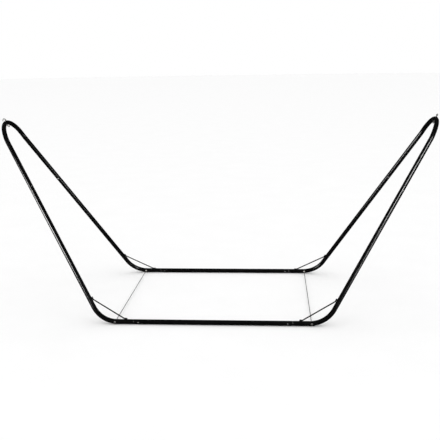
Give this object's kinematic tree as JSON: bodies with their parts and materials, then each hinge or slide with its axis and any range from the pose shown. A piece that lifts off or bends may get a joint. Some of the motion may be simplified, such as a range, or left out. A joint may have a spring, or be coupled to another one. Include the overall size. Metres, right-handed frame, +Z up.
{
  "type": "hammock stand",
  "caption": "Collapsible hammock stand of bent round steel tube: two floor rails, leaning end frames with hairpin tops, knee braces, wire ropes, snap buttons and hook bolts.",
  "frame": {"origin": "on the floor, midway between the two rails and midway along them", "axes": "+X along the rails towards the right end frame, -Y to the front, +Z up"},
  "size_m": [2.8925, 1.2056, 1.2438],
  "materials": {
    "black_paint": "gloss black powder coat",
    "zinc_plate": "bright zinc plate",
    "coated_rope": "black vinyl coat over laid wire rope",
    "nylon": "natural nylon"
  },
  "bodies": {
    "rails": {"rail_front": "black_paint", "rail_rear": "black_paint"},
    "end_left": {"bow_left": "black_paint", "leg_front_left": "black_paint", "leg_rear_left": "black_paint", "knee_brace_front_left": "black_paint", "knee_brace_rear_left": "black_paint", "cross_cable_left": "coated_rope", "cable_washer_front_left": "zinc_plate", "cable_washer_rear_left": "zinc_plate", "cable_stop_front_left": "zinc_plate", "cable_stop_rear_left": "zinc_plate", "cable_bush_front_left": "nylon", "cable_bush_rear_left": "nylon", "hook_washer_left": "zinc_plate"},
    "hook_left": {"hook_bolt_left": "zinc_plate", "hook_nut_left": "zinc_plate"},
    "end_right": {"bow_right": "black_paint", "leg_front_right": "black_paint", "leg_rear_right": "black_paint", "knee_brace_front_right": "black_paint", "knee_brace_rear_right": "black_paint", "cross_cable_right": "coated_rope", "cable_washer_front_right": "zinc_plate", "cable_washer_rear_right": "zinc_plate", "cable_stop_front_right": "zinc_plate", "cable_stop_rear_right": "zinc_plate", "cable_bush_front_right": "nylon", "cable_bush_rear_right": "nylon", "hook_washer_right": "zinc_plate"},
    "hook_right": {"hook_bolt_right": "zinc_plate", "hook_nut_right": "zinc_plate"},
    "snap_rail_front_left": {"snap_rail_front_left": "zinc_plate"},
    "snap_rail_rear_left": {"snap_rail_rear_left": "zinc_plate"},
    "snap_bow_front_left": {"snap_bow_front_left": "zinc_plate"},
    "snap_bow_rear_left": {"snap_bow_rear_left": "zinc_plate"},
    "snap_rail_front_right": {"snap_rail_front_right": "zinc_plate"},
    "snap_rail_rear_right": {"snap_rail_rear_right": "zinc_plate"},
    "snap_bow_front_right": {"snap_bow_front_right": "zinc_plate"},
    "snap_bow_rear_right": {"snap_bow_rear_right": "zinc_plate"}
  },
  "joints": [
    {"name": "end_left_pull", "type": "slide", "parent": "rails", "child": "end_left", "axis": [-1, 0, 0], "range_m": [0, 0.055], "deforming": ["snap_rail_front_left", "snap_rail_rear_left"]},
    {"name": "end_right_pull", "type": "slide", "parent": "rails", "child": "end_right", "axis": [1, 0, 0], "range_m": [0, 0.055], "deforming": ["snap_rail_front_right", "snap_rail_rear_right"]},
    {"name": "hook_left_turn", "type": "hinge", "parent": "end_left", "child": "hook_left", "pos_m": [-1.42128, 0, 1.21206], "axis": [-0.4462, 0, 0.8949], "range_deg": [-180, 180]},
    {"name": "hook_right_turn", "type": "hinge", "parent": "end_right", "child": "hook_right", "pos_m": [1.42128, 0, 1.21206], "axis": [0.4462, 0, 0.8949], "range_deg": [-180, 180]},
    {"name": "snap_rail_front_left_press", "type": "slide", "parent": "end_left", "child": "snap_rail_front_left", "axis": [0, 1, 0], "range_m": [0, 0.0046], "stiffness_N_per_m": 2500, "springref_m": -0.002},
    {"name": "snap_rail_rear_left_press", "type": "slide", "parent": "end_left", "child": "snap_rail_rear_left", "axis": [0, 1, 0], "range_m": [0, 0.0046], "stiffness_N_per_m": 2500, "springref_m": -0.002},
    {"name": "snap_bow_front_left_press", "type": "slide", "parent": "end_left", "child": "snap_bow_front_left", "axis": [0.1597, 0.9521, -0.2606], "range_m": [0, 0.0046], "stiffness_N_per_m": 2500, "springref_m": -0.002},
    {"name": "snap_bow_rear_left_press", "type": "slide", "parent": "end_left", "child": "snap_bow_rear_left", "axis": [-0.1597, 0.9521, 0.2606], "range_m": [0, 0.0046], "stiffness_N_per_m": 2500, "springref_m": -0.002},
    {"name": "snap_rail_front_right_press", "type": "slide", "parent": "end_right", "child": "snap_rail_front_right", "axis": [0, 1, 0], "range_m": [0, 0.0046], "stiffness_N_per_m": 2500, "springref_m": -0.002},
    {"name": "snap_rail_rear_right_press", "type": "slide", "parent": "end_right", "child": "snap_rail_rear_right", "axis": [0, 1, 0], "range_m": [0, 0.0046], "stiffness_N_per_m": 2500, "springref_m": -0.002},
    {"name": "snap_bow_front_right_press", "type": "slide", "parent": "end_right", "child": "snap_bow_front_right", "axis": [-0.1597, 0.9521, -0.2606], "range_m": [0, 0.0046], "stiffness_N_per_m": 2500, "springref_m": -0.002},
    {"name": "snap_bow_rear_right_press", "type": "slide", "parent": "end_right", "child": "snap_bow_rear_right", "axis": [0.1597, 0.9521, 0.2606], "range_m": [0, 0.0046], "stiffness_N_per_m": 2500, "springref_m": -0.002}
  ]
}
